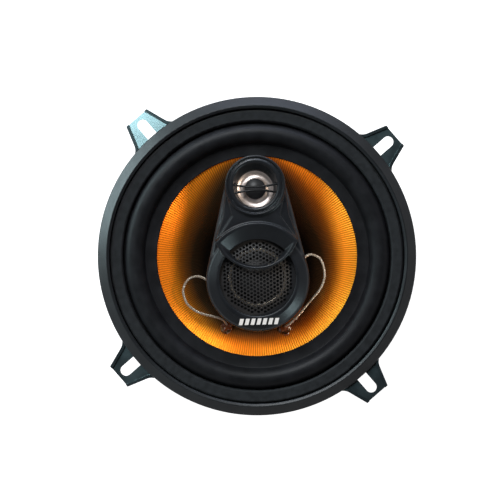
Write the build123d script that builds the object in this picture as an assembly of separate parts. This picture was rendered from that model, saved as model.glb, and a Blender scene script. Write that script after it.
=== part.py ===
from build123d import *
from math import cos, radians, sin, tan
import os

# A 5.25 inch (130 mm class) three-way coaxial car speaker. Millimetres, +Z out of the front, origin on
# the speaker axis at the rear face of the mounting flange. The four ears lie on +X, +Y, -X and -Y.
# The tweeter pod is drawn in its own axes, +Y from the midrange towards the tweeter, and is then turned
# about Z by POD_TURN.

# ---- driving dimensions --------------------------------------------------------------------------
GAP = 0.04            # glue line or sliding clearance between neighbouring pieces
SHEET = 1.0           # basket steel

TRIM_R = 65.0         # outer radius of the moulded trim ring
TRIM_EDGE_Z = 3.6
TRIM_CREST_R = 61.2
TRIM_CREST_Z = 6.1
GASKET_Z = 5.0
FLANGE_R = 64.6
SPIGOT_R = 57.5       # outside of the basket just behind the flange, which enters the baffle's hole
LANDING_R = 59.9      # outer edge of the surround's landing
ROLL_OUT_R = 54.4
ROLL_IN_R = 45.8
CONE_EDGE_R = 41.0    # where the surround's inner flange starts
CONE_LIP_R = 45.2
CONE_NECK_R = 13.0
CONE_FLARE = 16       # degrees between the cone's profile and its chord at each end

EAR_TIP_R = 74.9
EAR_TIP_HALF = 5.5
EAR_FLARE = 18.5      # degrees between an ear's side and its radius
EAR_FILLET = 5.0
LIP_WIDTH = 1.2
LIP_RISE = 1.7
SLOT_WIDTH = 4.5
SLOT_INNER_R = 63.0
SLOT_OUTER_R = 73.4

SPIGOT_Z = -6.5       # end of the basket's straight wall
LEDGE_Z = -23.0       # front of the ledge the spider is glued to
LEDGE_OUT_R = 38.5
LEDGE_IN_R = 31.5
BOTTOM_BORE_R = 15.0
NECK_Z = -18.5
BOTTOM_Z = -29.5      # front of the basket's bottom plate
TOP_PLATE_T = 4.0
MAGNET_T = 12.0
BACK_PLATE_T = 4.0
MAGNET_R = 35.0
STEEL_R = 31.0        # top plate and back plate
POLE_R = 12.3
COIL_HEIGHT = 9.0
FORMER_IN_R = 12.65
FORMER_OUT_R = 12.9
COIL_OUT_R = 13.4
PLATE_BORE_R = 13.8
RIVET_CIRCLE_R = 21.5
RIVET_R = 1.72
SPIDER_T = 0.45
SPIDER_WAVE = 1.65    # half a wave of the spider's corrugation
SPIDER_WAVES = 9
SPIDER_OUT_R = 37.8
SCREW_R = 2.0         # M4 screw that holds the pod to the pole
SCREW_HOLE_R = 2.2
HEAD_SINK = 3.2       # depth of the counterbore for its head
HEAD_SINK_R = 4.4

POD_ANGLE = 50.5      # direction of the tweeter, degrees from +X
POD_TURN = POD_ANGLE - 90
MID_Y = -9.4          # centre of the pod's wide end, along the pod's +Y
MID_R = 20.8
GRILLE_Y = -8.6       # midrange and grille centre
CUP_Y = 28.3          # centre of the tweeter cup
CUP_R = 12.1
TWEETER_Y = 27.0      # tweeter centre, a little below the middle of its cup
TWEETER_OPEN_R = 7.5
WALL = 1.6
BASE_Z = 0.0          # underside of the pod's midrange well
BASE_WELL_R = 18.0
BASE_FLOOR_Z = 6.5    # underside of the rest of the pod, clear of the surround
SPLIT_Z = 10.0        # joint between base and cover
SKIRT_Z = 14.4
STEP_Z = 15.9
PLATEAU_Z = 17.4
MID_RING_Z = 16.8
EYE_Z = 18.8
EYE_BRIDGE_Z = 16.3   # underside of the eye where it crosses the grille opening
CUP_Z = 18.8
GRILLE_OPEN_R = 15.3
LEDGE_UNDER_Z = 13.5  # underside of the ledge that the grille is clamped against

EYELET_R = 32.4       # radius at which the leads pass through the cone
EYELET_ANGLES = (-114.8, -70.7)   # from the pod's +X

# ---- worked out from the above -------------------------------------------------------------------
TOP_PLATE_Z = BOTTOM_Z - SHEET
MAGNET_Z = TOP_PLATE_Z - TOP_PLATE_T
BACK_PLATE_Z = MAGNET_Z - MAGNET_T
REAR_Z = BACK_PLATE_Z - BACK_PLATE_T
COIL_Z = TOP_PLATE_Z - TOP_PLATE_T / 2
POLE_TOP_Z = TOP_PLATE_Z + 0.5
CONE_EDGE_Z = SHEET - GAP     # the cone's glue lip is level with the flange's front face
CONE_T = 0.8
RUBBER_T = 0.6


# ---- helpers -------------------------------------------------------------------------------------
def spin(profile):
    """A solid of revolution about Z from a profile drawn as (radius, height)."""
    return revolve(Plane.XZ * profile, Axis.Z)


def outline(*points):
    return make_face(Polyline(*points, close=True))


def strip(left, right, low, high):
    return outline((left, low), (right, low), (right, high), (left, high))


def half_roll(middle, low, radius, skin):
    """The upper half of a round band of the given outer radius and skin."""
    band = Circle(radius) - Circle(radius - skin)
    above = Rectangle(3 * radius, 2 * radius, align=(Align.CENTER, Align.MIN))
    return Pos(middle, low) * (band & above)


def ring(inner_r, outer_r, low_z, high_z):
    return spin(strip(inner_r, outer_r, low_z, high_z))


def disc(radius, low_z, high_z, x=0.0, y=0.0):
    body = Cylinder(radius, high_z - low_z, align=(Align.CENTER, Align.CENTER, Align.MIN))
    return Pos(x, y, low_z) * body


def raise_up(sketch, low_z, high_z):
    return Pos(0, 0, low_z) * extrude(sketch, high_z - low_z)


def cap_shell(rim_r, rim_z, apex_z, thickness):
    """A spherical cap of even thickness, open side down, standing on its rim."""
    rise = apex_z - rim_z
    sphere_r = (rim_r**2 + rise**2) / (2 * rise)
    centre_z = apex_z - sphere_r
    outer = Pos(0, 0, centre_z) * Sphere(sphere_r)
    inner = Pos(0, 0, centre_z) * Sphere(sphere_r - thickness)
    return (outer - inner) & disc(rim_r, rim_z, apex_z + 1)


def tube_along(points, radius, start_tangent=None, end_tangent=None):
    tangents = (start_tangent, end_tangent) if start_tangent else ()
    path = Spline(*points, tangents=tangents)
    section = Plane(origin=path @ 0, z_dir=path % 0) * Circle(radius)
    return sweep(section, path=path)


def in_row(shape):
    """From the pod's axes to the row's."""
    return shape.rotate(Axis.Z, POD_TURN)


def polar(radius, degrees, z):
    return (radius * cos(radians(degrees)), radius * sin(radians(degrees)), z)


# ---- basket and rings ----------------------------------------------------------------------------
def ear_trapezoid(inset, beyond):
    """One ear on +X, its sides moved in by inset and its tip moved out by beyond."""
    slope = tan(radians(EAR_FLARE))
    tip_x = EAR_TIP_R + beyond
    root_x = FLANGE_R - 6
    half_tip = EAR_TIP_HALF - inset / cos(radians(EAR_FLARE)) - beyond * slope
    half_root = half_tip + (tip_x - root_x) * slope
    return outline((root_x, -half_root), (tip_x, -half_tip), (tip_x, half_tip), (root_x, half_root))


def four_times(sketch):
    return [Rot(0, 0, turn) * sketch for turn in (0, 90, 180, 270)]


def flange_outline():
    plate = Circle(FLANGE_R)
    for ear in four_times(ear_trapezoid(0, 0)):
        plate += ear
    roots = [v for v in plate.vertices() if abs(Vector(v.X, v.Y).length - FLANGE_R) < 0.01]
    return fillet([v for v in roots if v.X * v.Y != 0], EAR_FILLET)


def ear_lips(plate):
    """The turned-up edges along both sides of each ear; the tip edge stays flat."""
    lips = plate - offset(plate, -LIP_WIDTH) - Circle(TRIM_R + 0.15)
    for opening in four_times(ear_trapezoid(LIP_WIDTH, 1.0)):
        lips -= opening & (Circle(EAR_TIP_R + 3) - Circle(EAR_TIP_R - 3))
    return lips


def ear_slots():
    length = SLOT_OUTER_R - SLOT_INNER_R
    middle = (SLOT_OUTER_R + SLOT_INNER_R) / 2
    return four_times(Pos(middle, 0) * SlotOverall(length, SLOT_WIDTH))


def basket():
    inside = FilletPolyline(
        (FLANGE_R - 2, SHEET), (SPIGOT_R - SHEET, SHEET), (SPIGOT_R - SHEET, SPIGOT_Z),
        (LEDGE_OUT_R, LEDGE_Z), (LEDGE_IN_R, LEDGE_Z), (LEDGE_IN_R - 1.5, BOTTOM_Z),
        (BOTTOM_BORE_R, BOTTOM_Z), radius=0.8)
    bowl = spin(make_face(offset(inside, SHEET, side=Side.LEFT, closed=True)))
    plate = flange_outline()
    body = bowl + raise_up(plate - Circle(SPIGOT_R + 1), 0, SHEET)
    body += raise_up(ear_lips(plate), SHEET / 2, SHEET + LIP_RISE)
    for slot in ear_slots():
        body -= raise_up(slot, -1, SHEET + 1)
    window = window_outline()
    for turn in (45, 135, 225, 315):
        body -= raise_up(Rot(0, 0, POD_ANGLE + turn) * window, LEDGE_Z - 5, -5)
    for x, y in rivet_places():
        body -= disc(RIVET_R + 0.13, TOP_PLATE_Z - 1, BOTTOM_Z + 1, x, y)
    for x, y in board_rivet_places():
        body -= board_rivet_shape(x, y, GAP)
    return body


def window_outline():
    """One opening between two spokes, centred on +X."""
    inner_r, outer_r, half_angle, corner = 40.5, 54.0, 32, 3.0
    reach = 2 * outer_r
    half_width = reach * tan(radians(half_angle))
    wedge = outline((0, 0), (reach, -half_width), (reach, half_width))
    opening = (Circle(outer_r) - Circle(inner_r)) & wedge
    return fillet(opening.vertices(), corner)


def trim_ring():
    inner_r = LANDING_R + 0.15
    profile = outline(
        (inner_r, SHEET + GAP), (TRIM_R, SHEET + GAP), (TRIM_R, TRIM_EDGE_Z),
        (TRIM_CREST_R, TRIM_CREST_Z), (inner_r, TRIM_CREST_Z - 0.5))
    top = profile.vertices().sort_by(Axis.Y)[-3:]
    return spin(fillet(top, 0.45))


def gasket_ring():
    low = SHEET + RUBBER_T + 2 * GAP
    inner_r, outer_r = ROLL_OUT_R + 0.3, LANDING_R - 0.1
    profile = outline((inner_r, low), (outer_r, low), (outer_r, GASKET_Z), (inner_r, GASKET_Z - 0.3))
    top = profile.vertices().sort_by(Axis.Y)[-2:]
    return spin(fillet(top, 0.9))


def surround():
    """Half-roll rubber surround: inner flange on the cone's lip, landing on the basket's flange."""
    low = SHEET + GAP
    high = low + RUBBER_T
    middle = (ROLL_IN_R + ROLL_OUT_R) / 2
    half = (ROLL_OUT_R - ROLL_IN_R) / 2
    return spin(
        half_roll(middle, low, half, RUBBER_T)
        + strip(CONE_EDGE_R - 0.1, ROLL_IN_R + RUBBER_T, low, high)
        + strip(ROLL_OUT_R - RUBBER_T, LANDING_R, low, high))


# ---- motor ---------------------------------------------------------------------------------------
def rivet_places():
    return [polar(RIVET_CIRCLE_R, POD_ANGLE + turn, 0)[:2] for turn in (0, 90, 180, 270)]


def top_plate():
    plate = ring(PLATE_BORE_R, STEEL_R, MAGNET_Z, TOP_PLATE_Z)
    for x, y in rivet_places():
        plate -= disc(RIVET_R + 0.03, TOP_PLATE_Z - 2.6, TOP_PLATE_Z + 1, x, y)
    return plate


def plate_rivets():
    rivets = []
    for x, y in rivet_places():
        shank = disc(RIVET_R, TOP_PLATE_Z - 2.5, BOTTOM_Z + 0.5, x, y)
        head = disc(3.1, BOTTOM_Z + GAP, BOTTOM_Z + 1.2, x, y)
        rivets.append(shank + chamfer(head.edges().sort_by(Axis.Z)[-1], 0.5))
    return Compound(rivets)


def magnet():
    body = ring(16.0, MAGNET_R, BACK_PLATE_Z, MAGNET_Z)
    outer_edges = body.edges().filter_by(GeomType.CIRCLE).sort_by(SortBy.LENGTH)[-2:]
    return chamfer(outer_edges, 0.6)


def pole_yoke():
    """Back plate and pole in one piece, bored through and counterbored for the pod screw."""
    sink_z = REAR_Z + HEAD_SINK
    profile = outline(
        (SCREW_HOLE_R, sink_z), (HEAD_SINK_R, sink_z), (HEAD_SINK_R, REAR_Z), (STEEL_R - 1, REAR_Z),
        (STEEL_R, REAR_Z + 1), (STEEL_R, BACK_PLATE_Z), (POLE_R, BACK_PLATE_Z),
        (POLE_R, POLE_TOP_Z - 0.6), (POLE_R - 0.6, POLE_TOP_Z), (SCREW_HOLE_R, POLE_TOP_Z))
    return spin(profile)


# ---- moving assembly -----------------------------------------------------------------------------
def cone_front(radius):
    """Height of the cone's front: a circular flare, steep at the neck and flatter at the edge."""
    centre_r, centre_z, flare_r = cone_flare()
    return centre_z + (flare_r**2 - (radius - centre_r) ** 2) ** 0.5


def cone_flare():
    """Centre and radius of the arc from the neck to the edge."""
    run = CONE_EDGE_R - CONE_NECK_R
    rise = CONE_EDGE_Z - NECK_Z
    chord = (run**2 + rise**2) ** 0.5
    flare_r = chord / (2 * sin(radians(CONE_FLARE)))
    drop = (flare_r**2 - chord**2 / 4) ** 0.5
    middle_r = (CONE_EDGE_R + CONE_NECK_R) / 2
    middle_z = (CONE_EDGE_Z + NECK_Z) / 2
    return middle_r + drop * rise / chord, middle_z - drop * run / chord, flare_r


def cone_normal(radius):
    centre_r, centre_z, flare_r = cone_flare()
    return (radius - centre_r) / flare_r, (cone_front(radius) - centre_z) / flare_r


def eyelet_planes():
    """Planes on the cone's front at the eyelets, in the pod's axes: x along the rim, z off the cone."""
    planes = []
    normal_r, normal_z = cone_normal(EYELET_R)
    for angle in map(radians, EYELET_ANGLES):
        origin = (EYELET_R * cos(angle), EYELET_R * sin(angle), cone_front(EYELET_R))
        normal = (normal_r * cos(angle), normal_r * sin(angle), normal_z)
        planes.append(Plane(origin=origin, x_dir=(-sin(angle), cos(angle), 0), z_dir=normal))
    return planes


def eyelet_plane(side):
    return eyelet_planes()[0 if side < 0 else 1]


def cone():
    centre_r, centre_z, flare_r = cone_flare()
    middle_r = (CONE_EDGE_R + CONE_NECK_R) / 2
    inner_r = CONE_NECK_R + GAP

    def arc_at(radius, shift):
        reach = flare_r - shift
        return (radius, centre_z + (reach**2 - (radius - centre_r) ** 2) ** 0.5)

    front = ThreePointArc(arc_at(inner_r, 0), arc_at(middle_r, 0), arc_at(CONE_EDGE_R, 0))
    back = ThreePointArc(arc_at(CONE_EDGE_R, CONE_T), arc_at(middle_r, CONE_T), arc_at(inner_r, CONE_T))
    lip_under = CONE_EDGE_Z - CONE_T
    lip = Polyline(front @ 1, (CONE_LIP_R, CONE_EDGE_Z), (CONE_LIP_R, lip_under), back @ 0)
    body = spin(make_face(front + lip + back + Line(back @ 1, front @ 0)))
    for plane in eyelet_planes():
        body -= in_row(plane * Cylinder(1.35, 4))
    return body


def lead_eyelets():
    """Hollow brass rivets through the cone."""
    eyelets = []
    for plane in eyelet_planes():
        barrel = Cylinder(1.3, CONE_T + 0.8)
        heads = Pos(0, 0, 0.3) * Cylinder(2.2, 0.4) + Pos(0, 0, -CONE_T - 0.3) * Cylinder(2.2, 0.4)
        eyelet = Pos(0, 0, -CONE_T / 2) * barrel + heads - Cylinder(0.75, 6)
        eyelets.append(in_row(plane * eyelet))
    return Compound(eyelets)


def lead_dabs():
    """A bead of adhesive on the cone round each eyelet, with the lead lying in it."""
    section = outline((2.3, 0.12), (4.3, 0.2), (3.6, 0.75), (2.7, 0.85))
    section = fillet(section.vertices().sort_by(Axis.Y)[-2:], 0.25)
    dabs = []
    for plane, side in zip(eyelet_planes(), (-1, 1)):
        dabs.append(in_row(plane * spin(section)) - front_lead(side, LEAD_R + GAP))
    return Compound(dabs)


def coil_former():
    return ring(FORMER_IN_R, FORMER_OUT_R, COIL_Z - COIL_HEIGHT / 2 - 0.5, NECK_Z + 1.5)


def voice_coil():
    return ring(FORMER_OUT_R + 0.01, COIL_OUT_R, COIL_Z - COIL_HEIGHT / 2, COIL_Z + COIL_HEIGHT / 2)


def spider():
    """Corrugated damper from the former to the basket's ledge: alternate half-round waves."""
    low = LEDGE_Z + GAP
    high = low + SPIDER_T
    inner_r = FORMER_OUT_R + GAP
    first_r = inner_r + 1.2
    last_r = first_r + SPIDER_WAVES * SPIDER_WAVE
    bend_r = (SPIDER_WAVE + SPIDER_T) / 2
    profile = strip(inner_r, first_r, low, high)
    for wave in range(SPIDER_WAVES):
        bend = half_roll(0, 0, bend_r, SPIDER_T)
        turned = Rot(0, 0, 0 if wave % 2 else 180) * bend
        profile += Pos(first_r + (wave + 0.5) * SPIDER_WAVE, (low + high) / 2) * turned
    profile += strip(last_r - SPIDER_T / 2, SPIDER_OUT_R, low, high)
    return spin(profile)


# ---- terminals and rear leads --------------------------------------------------------------------
BOARD_T = 1.6
BOARD_Z = LEDGE_Z - SHEET - GAP     # top of the board, under the ledge
TAB_RIVET_Y = -46.5
TAB_SPREAD = 7.0
POSITIVE_TAB = 6.3    # widths of the two spade terminals
NEGATIVE_TAB = 4.8


def board_rivet_places():
    middle_r = (LEDGE_OUT_R + LEDGE_IN_R) / 2 + 0.4
    return [polar(middle_r, POD_ANGLE + 180 + side * 9, 0)[:2] for side in (-1, 1)]


def terminal_board():
    plate = Pos(0, -43.0) * RectangleRounded(22, 15.4, 1.5)
    board = raise_up(plate - Circle(33.6), BOARD_Z - BOARD_T, BOARD_Z)
    for x in (-TAB_SPREAD, TAB_SPREAD):
        board -= disc(1.05, BOARD_Z - 3, BOARD_Z + 1, x, TAB_RIVET_Y)
    board = in_row(board)
    for x, y in board_rivet_places():
        board -= disc(1.25, BOARD_Z - 3, BOARD_Z + 1, x, y)
    return board


def spade_tab(x, width):
    """A spade terminal on the board's underside, pointing outwards and held by a rivet."""
    top = BOARD_Z - BOARD_T - GAP
    blade = Pos(x, -49.7) * Rectangle(width, 10.4)
    blade = chamfer(blade.vertices().sort_by(Axis.Y)[:2], 1.2)
    tab = raise_up(blade, top - 0.8, top)
    tab -= disc(1.05, top - 2, top + 2, x, TAB_RIVET_Y)
    tab -= disc(0.8, top - 2, top + 2, x, -52.2)
    return in_row(tab)


def tab_rivets():
    """Hollow rivets: each holds a tab and the end of a rear lead."""
    rivets = []
    low = BOARD_Z - BOARD_T - 0.8 - GAP
    for x in (-TAB_SPREAD, TAB_SPREAD):
        shank = disc(1.0, low - 0.5, BOARD_Z + 0.5, x, TAB_RIVET_Y)
        low_head = disc(1.8, low - 0.6, low - GAP, x, TAB_RIVET_Y)
        top_head = disc(1.8, BOARD_Z + GAP, BOARD_Z + 0.6, x, TAB_RIVET_Y)
        bore = disc(0.5, low - 2, BOARD_Z + 2, x, TAB_RIVET_Y)
        rivets.append(in_row(shank + low_head + top_head - bore))
    return Compound(rivets)


def board_rivet_shape(x, y, clearance):
    """The upper part of a board rivet: a shank with a countersunk head, flush with the ledge."""
    top = LEDGE_Z if clearance else LEDGE_Z - GAP
    flare = Cone(1.2 + clearance, 1.9 + clearance, 0.7, align=(Align.CENTER, Align.CENTER, Align.MAX))
    return disc(1.2 + clearance, BOARD_Z - BOARD_T - 0.5, top, x, y) + Pos(x, y, top) * flare


def board_rivets():
    rivets = []
    for x, y in board_rivet_places():
        low_head = disc(2.2, BOARD_Z - BOARD_T - 0.8, BOARD_Z - BOARD_T - GAP, x, y)
        rivets.append(board_rivet_shape(x, y, 0) + low_head)
    return Compound(rivets)


LEAD_R = 0.55
LEAD_HOLES = ((-15.9, -11.2, 3.6), (15.2, -3.4, 3.6))   # where the leads end, inside the pod's well


def rear_lead(side):
    """Tinsel lead with slack, from a tab's rivet out through a window and in to the cone's back."""
    under = eyelet_plane(side)
    end = under.from_local_coords((0, 0, -CONE_T - 0.5 - LEAD_R - 0.15))
    points = [
        (side * TAB_SPREAD, TAB_RIVET_Y, BOARD_Z + 0.7 + LEAD_R), (side * 13.0, -46.0, BOARD_Z + 3.0),
        (side * 17.8, -42.6, -16.5), (side * 17.0, -37.5, -12.2), (end.X, end.Y, end.Z)]
    return in_row(tube_along(points, LEAD_R))


def front_lead(side, radius=LEAD_R):
    """Tinsel lead from the cone's front, in a slack loop, then through the wall of the pod's well."""
    start = eyelet_plane(side).from_local_coords((0, 0.8, 0.55 + LEAD_R))
    if side < 0:
        loop = [(-17.0, -24.6, 1.7), (-24.5, -22.4, 2.6), (-29.4, -18.0, 3.6), (-30.6, -13.0, 4.4),
                (-27.6, -8.2, 4.8), (-22.9, -7.8, 4.6), (-19.6, -10.0, 4.1), LEAD_HOLES[0]]
    else:
        loop = [(16.2, -24.6, 1.7), (21.4, -18.6, 2.8), (25.8, -13.6, 3.7), (27.4, -8.0, 4.4),
                (25.4, -1.8, 4.8), (21.6, 0.2, 4.6), (18.6, -2.2, 4.1), LEAD_HOLES[1]]
    return in_row(tube_along([(start.X, start.Y, start.Z)] + loop, radius))


# ---- pod: base, post and fastening ---------------------------------------------------------------
def pod_outline(inset=0.0):
    """The tapered hull of the midrange and tweeter circles, moved in by inset."""
    low_r, high_r = MID_R - inset, CUP_R - inset
    lean = (low_r - high_r) / (CUP_Y - MID_Y)
    rise = (1 - lean**2) ** 0.5
    sides = outline(
        (high_r * rise, CUP_Y + high_r * lean), (-high_r * rise, CUP_Y + high_r * lean),
        (-low_r * rise, MID_Y + low_r * lean), (low_r * rise, MID_Y + low_r * lean))
    return Pos(0, MID_Y) * Circle(low_r) + Pos(0, CUP_Y) * Circle(high_r) + sides


COVER_SCREW_X = 11.0
COVER_SCREW_Y = 12.5
NUT_TOP_Z = 5.3


def pod_base():
    """Rear shell: a well for the midrange, seated on the post, and a tray out to the tweeter."""
    tray = raise_up(pod_outline(), BASE_FLOOR_Z, SPLIT_Z)
    tray -= raise_up(pod_outline(WALL), BASE_FLOOR_Z + WALL, SPLIT_Z + 1)
    well = disc(BASE_WELL_R, BASE_Z, BASE_FLOOR_Z + WALL, 0, MID_Y)
    well = chamfer(well.edges().sort_by(Axis.Z)[0], 1.2)
    base = tray + well - disc(BASE_WELL_R - WALL, BASE_Z + 2.0, SPLIT_Z, 0, MID_Y)
    base -= disc(SCREW_HOLE_R, BASE_Z - 1, BASE_Z + 3)
    for x in (-COVER_SCREW_X, COVER_SCREW_X):
        base -= disc(1.35, BASE_FLOOR_Z - 1, BASE_FLOOR_Z + 3, x, COVER_SCREW_Y)
    for hole in LEAD_HOLES:
        base -= Pos(*hole) * Box(7, 3, 2.6)
    return in_row(base)


def pod_post():
    """Moulded column between the pole and the pod."""
    foot_r, waist_r, head_r = 10.5, 7.0, 9.0
    low, high = POLE_TOP_Z + GAP, BASE_Z - GAP
    profile = outline(
        (SCREW_HOLE_R, low), (foot_r, low), (foot_r, low + 3), (waist_r, low + 6),
        (waist_r, high - 3), (head_r, high), (SCREW_HOLE_R, high))
    return spin(profile)


def pod_screw():
    """M4 pan-head machine screw, its head sunk in the back plate, without the thread's form."""
    head_low = REAR_Z + 0.4
    head_high = REAR_Z + HEAD_SINK - GAP
    screw = disc(HEAD_SINK_R - 0.6, head_low, head_high)
    screw = fillet(screw.edges().sort_by(Axis.Z)[0], 0.9)
    screw += disc(SCREW_R, head_high - 0.5, NUT_TOP_Z + 0.6)
    for turn in (0, 90):
        screw -= Pos(0, 0, head_low) * Rot(0, 0, turn) * Box(4.2, 0.9, 2.4)
    return screw


def pod_nut():
    """Hex nut in the bottom of the pod's well."""
    nut = raise_up(RegularPolygon(4.04, 6), NUT_TOP_Z - 3.2, NUT_TOP_Z)
    return nut - disc(SCREW_R + 0.03, 0, NUT_TOP_Z + 1)


def cover_screws():
    """Two self-tapping screws from behind, holding the cover to the base."""
    screws = []
    for x in (-COVER_SCREW_X, COVER_SCREW_X):
        head = disc(2.4, BASE_FLOOR_Z - 1.5, BASE_FLOOR_Z - GAP, x, COVER_SCREW_Y)
        head = fillet(head.edges().sort_by(Axis.Z)[0], 0.7)
        head -= Pos(x, COVER_SCREW_Y, BASE_FLOOR_Z - 1.5) * Box(2.8, 0.6, 1.2)
        head -= Pos(x, COVER_SCREW_Y, BASE_FLOOR_Z - 1.5) * Box(0.6, 2.8, 1.2)
        screws.append(in_row(head + disc(1.2, BASE_FLOOR_Z - 0.5, 13.2, x, COVER_SCREW_Y)))
    return Compound(screws)


def crossover_capacitors():
    """Two bipolar capacitors that keep low notes out of the midrange and the tweeter."""
    can_r = 1.9
    cans = []
    for y in (11.55, 15.45):
        can = Pos(0, y, BASE_FLOOR_Z + WALL + GAP + can_r) * Cylinder(can_r, 9.0, rotation=(0, 90, 0))
        cans.append(in_row(chamfer(can.edges().filter_by(GeomType.CIRCLE), 0.4)))
    return Compound(cans)


# ---- pod: cover ----------------------------------------------------------------------------------
def lens(half_chord, up_sag, down_sag):
    """An eye shape: two arcs that meet at (+-half_chord, 0), bulging up_sag and down_sag."""
    top = ThreePointArc((-half_chord, 0), (0, up_sag), (half_chord, 0))
    bottom = ThreePointArc((half_chord, 0), (0, -down_sag), (-half_chord, 0))
    return make_face(Wire([top, bottom]))


def eye_outer():
    return Pos(0, 6.0) * lens(16.4, 7.5, 11.2)


def eye_opening():
    return Pos(0, 2.1) * lens(11.0, 4.5, 5.7)


def eye_hollow():
    """The eye's lid and bar slope down from a crest just inside its outline to the opening."""
    crest = Pos(0, 0, EYE_Z + 0.2) * Pos(0, 5.8) * lens(15.2, 7.0, 10.1)
    return loft([Pos(0, 0, EYE_BRIDGE_Z) * eye_opening(), crest])


def hourglass(waist_half, top_r, low_half):
    """The styled shoulders between the tweeter cup and the eye, pinched at the waist."""
    waist_y = CUP_Y - CUP_R
    return outline(
        (top_r, CUP_Y - 3), (waist_half, waist_y), (low_half, 6.5), (0, 2), (-low_half, 6.5),
        (-waist_half, waist_y), (-top_r, CUP_Y - 3), (0, CUP_Y))


def cup_bowl():
    """The tweeter cup's hollow: a groove inside the rim, a rounded band, then an off-centre funnel."""
    groove_r, groove_in_r, band_r = 11.2, 10.8, 8.8
    groove_z, band_z, floor_z = CUP_Z - 1.0, CUP_Z - 1.3, 14.4
    above = Polyline(
        (band_r, band_z), (0, band_z), (0, CUP_Z + 1), (groove_r, CUP_Z + 1), (groove_r, groove_z),
        (groove_in_r, groove_z))
    crest = ((band_r + groove_in_r) / 2, CUP_Z - 0.4)
    band = ThreePointArc((groove_in_r, groove_z), crest, (band_r, band_z))
    hollow = spin(make_face(above + band))
    mouth = Pos(0, CUP_Y, band_z) * Circle(band_r)
    throat = Pos(0, TWEETER_Y, floor_z) * Circle(TWEETER_OPEN_R)
    return Pos(0, CUP_Y) * hollow + loft([throat, mouth])


def grille_surround():
    """The ring round the grille: its face falls away outwards to a soft edge."""
    face_r = GRILLE_OPEN_R + 1.0
    profile = outline(
        (0, SPLIT_Z), (MID_R, SPLIT_Z), (MID_R, SKIRT_Z - 0.6), (MID_R - 0.9, SKIRT_Z + 0.6),
        (face_r, MID_RING_Z), (0, MID_RING_Z))
    return Pos(0, MID_Y) * spin(profile)


def pod_cover():
    """Front shell: stepped shoulders, a tweeter cup, a ring round the grille and an eye across it."""
    skirt = raise_up(pod_outline(), SPLIT_Z, SKIRT_Z)
    skirt = chamfer(skirt.faces().sort_by(Axis.Z)[-1].edges(), 1.2)
    cover = skirt + raise_up(hourglass(13.2, 12.0, 16.6) & pod_outline(0.6), SKIRT_Z - 1, STEP_Z)
    cover += raise_up(hourglass(9.6, 11.6, 16.2) & pod_outline(0.9), STEP_Z - 1, PLATEAU_Z)
    cup = disc(CUP_R, SPLIT_Z, CUP_Z, 0, CUP_Y)
    cover += grille_surround() + fillet(cup.edges().sort_by(Axis.Z)[-1], 0.5)
    cover -= disc(GRILLE_OPEN_R, SPLIT_Z - 1, EYE_Z + 1, 0, GRILLE_Y)
    cover += raise_up(eye_outer(), EYE_BRIDGE_Z, EYE_Z)
    cover -= raise_up(eye_opening(), SPLIT_Z - 1, EYE_BRIDGE_Z + GAP) + eye_hollow()
    cover -= raise_up(pod_outline(WALL), SPLIT_Z - 1, LEDGE_UNDER_Z)
    cover -= cup_bowl()
    cover -= disc(TWEETER_OPEN_R, SPLIT_Z, 15, 0, TWEETER_Y)
    cover -= disc(TWEETER_FRAME_R + 0.2, SPLIT_Z, TWEETER_SEAT_Z + 0.35, 0, TWEETER_Y)
    for x in (-COVER_SCREW_X, COVER_SCREW_X):
        cover += disc(2.4, SPLIT_Z, LEDGE_UNDER_Z + 0.5, x, COVER_SCREW_Y)
        cover -= disc(1.22, 0, 13.3, x, COVER_SCREW_Y)
    cover = in_row(cover)
    for bar in guard_bars(GUARD_R + GAP):
        cover -= bar
    return cover


# ---- pod: midrange -------------------------------------------------------------------------------
def at_mid(shape):
    return in_row(Pos(0, GRILLE_Y) * shape)


MID_SEAT_Z = 11.4     # face of the midrange frame that the surround is glued to
MID_FRAME_TOP_Z = 12.95
MID_FRAME_R = 18.1
MID_POT_Z = 6.2
MID_MAGNET_Z = 7.4    # front of the pot's floor
MID_PLATE_Z = 9.3
MID_POT_TOP_Z = 10.8
MID_POT_R = 9.0
MID_DOME_R = 7.5
MID_RING_R = 11.9


def mid_grille():
    dome = cap_shell(16.2, MID_FRAME_TOP_Z + GAP, 15.9, 0.5)
    return at_mid(dome + ring(15.8, MID_FRAME_R - 0.3, MID_FRAME_TOP_Z + GAP, LEDGE_UNDER_Z - GAP))


def mid_frame():
    """Plate with a seat for the surround, on a skirt that stands on the floor of the base."""
    floor_z = BASE_FLOOR_Z + WALL + GAP
    bore_r, step_r, skirt_r = MID_POT_R + 0.1, MID_RING_R + 0.2, MID_FRAME_R - 1.2
    under_z, top_z = 10.2, MID_FRAME_TOP_Z
    profile = outline(
        (bore_r, under_z), (skirt_r, under_z), (skirt_r, floor_z), (MID_FRAME_R, floor_z),
        (MID_FRAME_R, top_z), (step_r, top_z), (step_r, MID_SEAT_Z), (bore_r, MID_SEAT_Z))
    return at_mid(spin(profile))


def mid_pot():
    wall_r = MID_POT_R - 1.1
    profile = outline(
        (0, MID_POT_Z), (MID_POT_R, MID_POT_Z), (MID_POT_R, MID_POT_TOP_Z), (wall_r, MID_POT_TOP_Z),
        (wall_r, MID_MAGNET_Z), (0, MID_MAGNET_Z))
    return at_mid(spin(profile))


def mid_magnet():
    return at_mid(disc(6.2, MID_MAGNET_Z + GAP, MID_PLATE_Z))


def mid_pole_plate():
    return at_mid(disc(6.6, MID_PLATE_Z + GAP, MID_POT_TOP_Z))


def mid_coil():
    return at_mid(ring(MID_DOME_R - 0.6, MID_DOME_R, 8.6, MID_SEAT_Z - GAP))


def mid_dome():
    return at_mid(cap_shell(MID_DOME_R, MID_SEAT_Z, 13.4, 0.3))


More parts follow.
